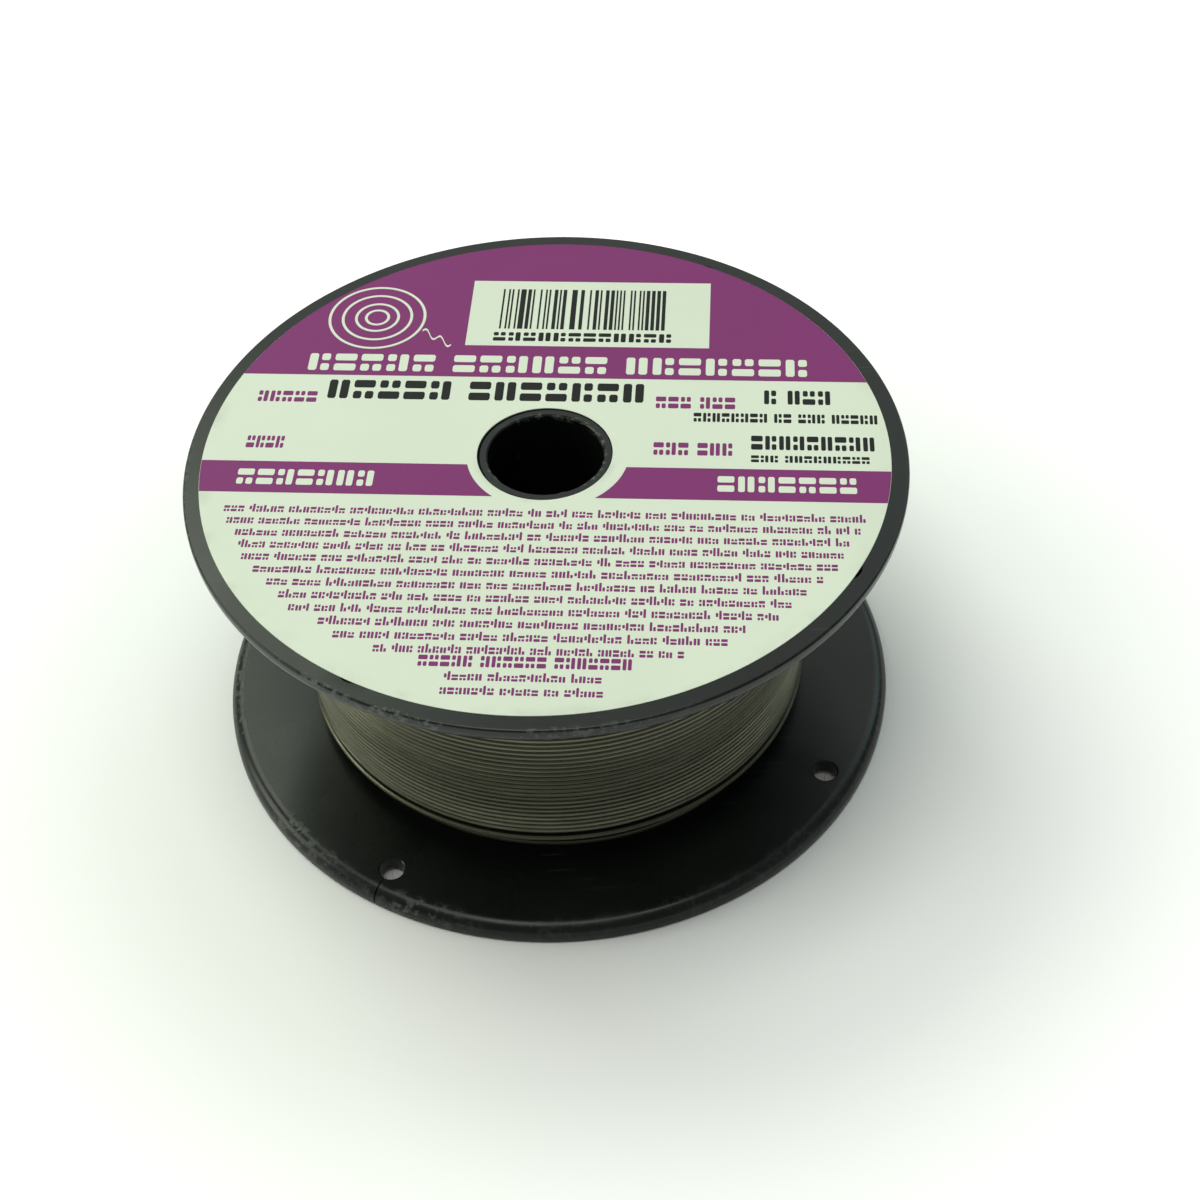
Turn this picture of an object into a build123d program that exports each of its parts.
"""Four-inch plastic spool wound full with 0.9 mm welding wire.

The spool lies on its lower flange. The origin is on the bore's axis, in the plane of
the lower flange's outer face, and +Z runs up the bore.
"""

import math
import os

from build123d import *

# Driving dimensions, in millimetres and degrees

FLANGE_DIAMETER = 101.6
OVERALL_WIDTH = 46.0
FLANGE_THICKNESS = 3.0
RIM_INNER_RADIUS = 2.1
RIM_OUTER_RADIUS = 0.4

BORE_DIAMETER = 16.4
SLEEVE_WALL = 1.3
SLEEVE_CHAMFER = 0.2
SLEEVE_CLEARANCE = 0.05

BARREL_DIAMETER = 45.3
BARREL_WALL = 2.0
RIB_COUNT = 6
RIB_THICKNESS = 1.4
SPIGOT_HEIGHT = 2.0
SPIGOT_WALL = 1.8
SPIGOT_CLEARANCE = 0.1

END_HOLE_COUNT = 4
END_HOLE_DIAMETER = 3.6
END_HOLE_FLARE_DIAMETER = 5.4
END_HOLE_FLARE_DEPTH = 0.9
END_HOLE_CIRCLE = 92.0
END_HOLE_ANGLE = 56.3
END_SLIT_ANGLE = END_HOLE_ANGLE + 180
END_SLIT_WIDTH = 0.4
CUTTER_OVERRUN = 1.0

WIRE_DIAMETER = 0.9
WIRE_LAYERS = 19
OUTER_LAYER_TURNS = 40
SPACED_TURN_GAP = 0.15
LAST_TURN_RADIUS = 35.6
SHOULDER_HEIGHT = 5.5
VALLEY_DEPTH = 0.33
WINDING_CLEARANCE = 0.05

START_HOLE_DIAMETER = 1.4
START_HOLE_ANGLE = 30
START_HOLE_RISE = 2.0
START_BEND_RADIUS = 1.5
START_TAIL_REACH = 16.0
START_TAIL_RISE = 7.0
END_BEND_RADIUS = 1.6
END_TAIL_HEIGHT = 0.6

LABEL_DIAMETER = 96.8
LABEL_HOLE_DIAMETER = 19.1
LABEL_THICKNESS = 0.15
LABEL_OFFSET = (-0.13, 0.07)

# Sizes that follow from them

FLANGE_RADIUS = FLANGE_DIAMETER / 2
INNER_WIDTH = OVERALL_WIDTH - 2 * FLANGE_THICKNESS
SLEEVE_RADIUS = BORE_DIAMETER / 2 + SLEEVE_WALL
BARREL_RADIUS = BARREL_DIAMETER / 2
BARREL_INSIDE_RADIUS = BARREL_RADIUS - BARREL_WALL
SPIGOT_RADIUS = BARREL_INSIDE_RADIUS - SPIGOT_CLEARANCE
CAVITY_FLOOR = FLANGE_THICKNESS + SPIGOT_HEIGHT
WIRE_RADIUS = WIRE_DIAMETER / 2
LAYER_RISE = WIRE_DIAMETER * math.sqrt(3) / 2
WINDING_RADIUS = BARREL_RADIUS + WIRE_DIAMETER + (WIRE_LAYERS - 1) * LAYER_RISE
TURN_RADIUS = WINDING_RADIUS - WIRE_RADIUS
SEAM_RADIUS = WINDING_RADIUS - WIRE_DIAMETER
WINDING_FLOOR = FLANGE_THICKNESS + WINDING_CLEARANCE
WINDING_CEILING = OVERALL_WIDTH - FLANGE_THICKNESS - WINDING_CLEARANCE
LOWEST_REGULAR_TURN = WINDING_CEILING - WIRE_RADIUS - (OUTER_LAYER_TURNS - 1) * WIRE_DIAMETER
SPACED_TURN_HEIGHT = LOWEST_REGULAR_TURN - WIRE_DIAMETER - SPACED_TURN_GAP
LAST_TURN_HEIGHT = WINDING_FLOOR + WIRE_RADIUS


def make_flange(first_hole_angle, slit_angles):
    """The flange moulding, lying on its outer face at the origin."""
    with BuildPart() as flange:
        # Disc and the spigot that centres the barrel, turned from one section that starts at the
        # sleeve's hole: a small round at the outer face, a large one towards the winding
        hole_wall = SLEEVE_RADIUS + SLEEVE_CLEARANCE
        with BuildSketch(Plane.XZ) as section:
            with Locations(((FLANGE_RADIUS + hole_wall) / 2, FLANGE_THICKNESS / 2)):
                Rectangle(FLANGE_RADIUS - hole_wall, FLANGE_THICKNESS)
            rim_corners = section.vertices().group_by(Axis.X)[-1].sort_by(Axis.Y)
            fillet(rim_corners[0], RIM_OUTER_RADIUS)
            rim_corners = section.vertices().group_by(Axis.Y)[-1].sort_by(Axis.X)
            fillet(rim_corners[-1], RIM_INNER_RADIUS)
            with Locations((SPIGOT_RADIUS - SPIGOT_WALL / 2, FLANGE_THICKNESS)):
                Rectangle(SPIGOT_WALL, 2 * SPIGOT_HEIGHT)
        revolve(axis=Axis.Z)

        # Wire-end holes, flared at the outer face. The cutter stands proud of both faces.
        flare_widening = (END_HOLE_FLARE_DIAMETER - END_HOLE_DIAMETER) / 2
        flare_slope = flare_widening / END_HOLE_FLARE_DEPTH
        with BuildPart(mode=Mode.PRIVATE) as hole_cutter:
            with BuildSketch(Plane.XZ):
                with BuildLine():
                    Polyline(
                        (0, -CUTTER_OVERRUN),
                        (END_HOLE_FLARE_DIAMETER / 2 + CUTTER_OVERRUN * flare_slope, -CUTTER_OVERRUN),
                        (END_HOLE_DIAMETER / 2, END_HOLE_FLARE_DEPTH),
                        (END_HOLE_DIAMETER / 2, FLANGE_THICKNESS + CUTTER_OVERRUN),
                        (0, FLANGE_THICKNESS + CUTTER_OVERRUN),
                        close=True,
                    )
                make_face()
            revolve(axis=Axis.Z)
        with PolarLocations(END_HOLE_CIRCLE / 2, END_HOLE_COUNT, first_hole_angle):
            add(hole_cutter.part, mode=Mode.SUBTRACT)

        # Slits from a hole out through the rim, to push the wire's end through
        slit_length = FLANGE_RADIUS + CUTTER_OVERRUN - END_HOLE_CIRCLE / 2
        for slit_angle in slit_angles:
            with BuildSketch(Plane.XY.offset(-CUTTER_OVERRUN)):
                with PolarLocations(END_HOLE_CIRCLE / 2 + slit_length / 2, 1, slit_angle):
                    Rectangle(slit_length, END_SLIT_WIDTH)
            extrude(amount=FLANGE_THICKNESS + 2 * CUTTER_OVERRUN, mode=Mode.SUBTRACT)
    return flange


# Flanges: the upper one is turned over, so its holes are set out the other way round

lower_flange = make_flange(END_HOLE_ANGLE, [END_SLIT_ANGLE])
plain_flange = make_flange(-END_HOLE_ANGLE, [])

with BuildPart() as upper_flange:
    with Locations(Location((0, 0, OVERALL_WIDTH), (180, 0, 0))):
        add(plain_flange.part)

# Bore sleeve: the tube that runs on the spindle, flush with both outer faces

with BuildPart() as bore_sleeve:
    with BuildSketch(Plane.XY):
        Circle(SLEEVE_RADIUS)
        Circle(BORE_DIAMETER / 2, mode=Mode.SUBTRACT)
    extrude(amount=OVERALL_WIDTH)
    bore_rims = bore_sleeve.edges().filter_by(GeomType.CIRCLE).sort_by(SortBy.RADIUS)
    chamfer(bore_rims[:2], SLEEVE_CHAMFER)

# Barrel: the core tube, with ribs that centre it on the bore sleeve

with BuildPart() as barrel:
    with BuildSketch(Plane.XY.offset(FLANGE_THICKNESS)):
        Circle(BARREL_RADIUS)
        Circle(BARREL_INSIDE_RADIUS, mode=Mode.SUBTRACT)
    extrude(amount=INNER_WIDTH)

    rib_inner_radius = SLEEVE_RADIUS + SLEEVE_CLEARANCE
    rib_length = BARREL_INSIDE_RADIUS + BARREL_WALL / 2 - rib_inner_radius
    with BuildSketch(Plane.XY.offset(CAVITY_FLOOR + SPIGOT_CLEARANCE)):
        with PolarLocations(rib_inner_radius + rib_length / 2, RIB_COUNT):
            Rectangle(rib_length, RIB_THICKNESS)
    extrude(amount=OVERALL_WIDTH - 2 * (CAVITY_FLOOR + SPIGOT_CLEARANCE))

    start_hole_height = CAVITY_FLOOR + START_HOLE_RISE
    start_direction = Vector(1, 0, 0).rotate(Axis.Z, START_HOLE_ANGLE)
    start_hole_plane = Plane(origin=(0, 0, start_hole_height), z_dir=start_direction)
    with BuildSketch(start_hole_plane.offset(BARREL_INSIDE_RADIUS - 1)):
        Circle(START_HOLE_DIAMETER / 2)
    extrude(amount=BARREL_WALL + 2, mode=Mode.SUBTRACT)

# Start of the wire: in through the barrel wall and bent up inside the cavity

start_plane = Plane(
    origin=(0, 0, start_hole_height),
    x_dir=start_direction,
    z_dir=start_direction.cross(Vector(0, 0, 1)),
)

with BuildPart() as wire_start:
    with BuildLine(start_plane):
        FilletPolyline(
            (BARREL_RADIUS, 0),
            (START_TAIL_REACH, 0),
            (START_TAIL_REACH, START_TAIL_RISE),
            radius=START_BEND_RADIUS,
        )
    with BuildSketch(start_hole_plane.offset(BARREL_RADIUS)):
        Circle(WIRE_RADIUS)
    sweep()

# Winding: the layers under the visible one, as the solid that they fill. They step back
# by the lower flange, where the last turn lies.

with BuildPart() as wire_inner_layers:
    with BuildSketch(Plane.XY.offset(WINDING_FLOOR)):
        Circle(LAST_TURN_RADIUS - WIRE_RADIUS - WINDING_CLEARANCE)
    extrude(amount=SHOULDER_HEIGHT - WINDING_FLOOR)
    with BuildSketch(Plane.XY.offset(SHOULDER_HEIGHT)):
        Circle(SEAM_RADIUS)
    extrude(amount=WINDING_CEILING - SHOULDER_HEIGHT)
    with BuildSketch(Plane.XY.offset(WINDING_FLOOR)):
        Circle(BARREL_RADIUS + WINDING_CLEARANCE)
    extrude(amount=WINDING_CEILING - WINDING_FLOOR, mode=Mode.SUBTRACT)

# Outermost layer: turns side by side, joined at the depth of the valleys

valley_radius = WINDING_RADIUS - VALLEY_DEPTH
backing_radius = SEAM_RADIUS + WINDING_CLEARANCE

with BuildPart() as wire_outer_layer:
    layer_height = (OUTER_LAYER_TURNS - 1) * WIRE_DIAMETER
    layer_middle = LOWEST_REGULAR_TURN + layer_height / 2
    with BuildSketch(Plane.XZ):
        with Locations(((backing_radius + valley_radius) / 2, layer_middle)):
            Rectangle(valley_radius - backing_radius, layer_height)
        with Locations((TURN_RADIUS, layer_middle)):
            with GridLocations(0, WIRE_DIAMETER, 1, OUTER_LAYER_TURNS):
                Circle(WIRE_RADIUS)
        with Locations((backing_radius / 2, layer_middle)):
            Rectangle(backing_radius, layer_height + WIRE_DIAMETER, mode=Mode.SUBTRACT)
    revolve(axis=Axis.Z)

# Turn of that layer which stands apart from the rest, below a gap

with BuildPart() as wire_spaced_turn:
    with BuildSketch(Plane.XZ):
        with Locations((TURN_RADIUS + WINDING_CLEARANCE, SPACED_TURN_HEIGHT)):
            Circle(WIRE_RADIUS)
    revolve(axis=Axis.Z)

# Last turn, lying in the step by the lower flange

with BuildPart() as wire_last_turn:
    with BuildSketch(Plane.XZ):
        with Locations((LAST_TURN_RADIUS, LAST_TURN_HEIGHT)):
            Circle(WIRE_RADIUS)
    revolve(axis=Axis.Z)

# Free end of the wire: a tangent off the last turn, bent down into a hole behind

hole_radius = END_HOLE_CIRCLE / 2
tangent_angle = END_HOLE_ANGLE + math.degrees(math.acos(LAST_TURN_RADIUS / hole_radius))
tangent_point = Vector(LAST_TURN_RADIUS, 0, LAST_TURN_HEIGHT).rotate(Axis.Z, tangent_angle)
hole_point = Vector(hole_radius, 0, LAST_TURN_HEIGHT).rotate(Axis.Z, END_HOLE_ANGLE)
end_direction = (hole_point - tangent_point).normalized()
end_start_radius = LAST_TURN_RADIUS + WIRE_DIAMETER + WINDING_CLEARANCE
clear_of_turn = math.sqrt(end_start_radius**2 - LAST_TURN_RADIUS**2)
end_start = tangent_point + end_direction * clear_of_turn

with BuildPart() as wire_end:
    with BuildLine():
        FilletPolyline(
            end_start,
            hole_point,
            Vector(hole_point.X, hole_point.Y, END_TAIL_HEIGHT),
            radius=END_BEND_RADIUS,
        )
    with BuildSketch(Plane(origin=end_start, z_dir=end_direction)):
        Circle(WIRE_RADIUS)
    sweep()

# Label: paper disc on the upper flange, over its wire-end holes

with BuildPart() as label:
    with BuildSketch(Plane.XY.offset(OVERALL_WIDTH)):
        with Locations(LABEL_OFFSET):
            Circle(LABEL_DIAMETER / 2)
            Circle(LABEL_HOLE_DIAMETER / 2, mode=Mode.SUBTRACT)
    extrude(amount=LABEL_THICKNESS)

# One STEP file for each piece

os.makedirs("parts", exist_ok=True)

lower_flange.part.label = "lower_flange"
export_step(lower_flange.part, "parts/lower_flange.step")

upper_flange.part.label = "upper_flange"
export_step(upper_flange.part, "parts/upper_flange.step")

bore_sleeve.part.label = "bore_sleeve"
export_step(bore_sleeve.part, "parts/bore_sleeve.step")

barrel.part.label = "barrel"
export_step(barrel.part, "parts/barrel.step")

wire_start.part.label = "wire_start"
export_step(wire_start.part, "parts/wire_start.step")

wire_inner_layers.part.label = "wire_inner_layers"
export_step(wire_inner_layers.part, "parts/wire_inner_layers.step")

wire_outer_layer.part.label = "wire_outer_layer"
export_step(wire_outer_layer.part, "parts/wire_outer_layer.step")

wire_spaced_turn.part.label = "wire_spaced_turn"
export_step(wire_spaced_turn.part, "parts/wire_spaced_turn.step")

wire_last_turn.part.label = "wire_last_turn"
export_step(wire_last_turn.part, "parts/wire_last_turn.step")

wire_end.part.label = "wire_end"
export_step(wire_end.part, "parts/wire_end.step")

label.part.label = "label"
export_step(label.part, "parts/label.step")
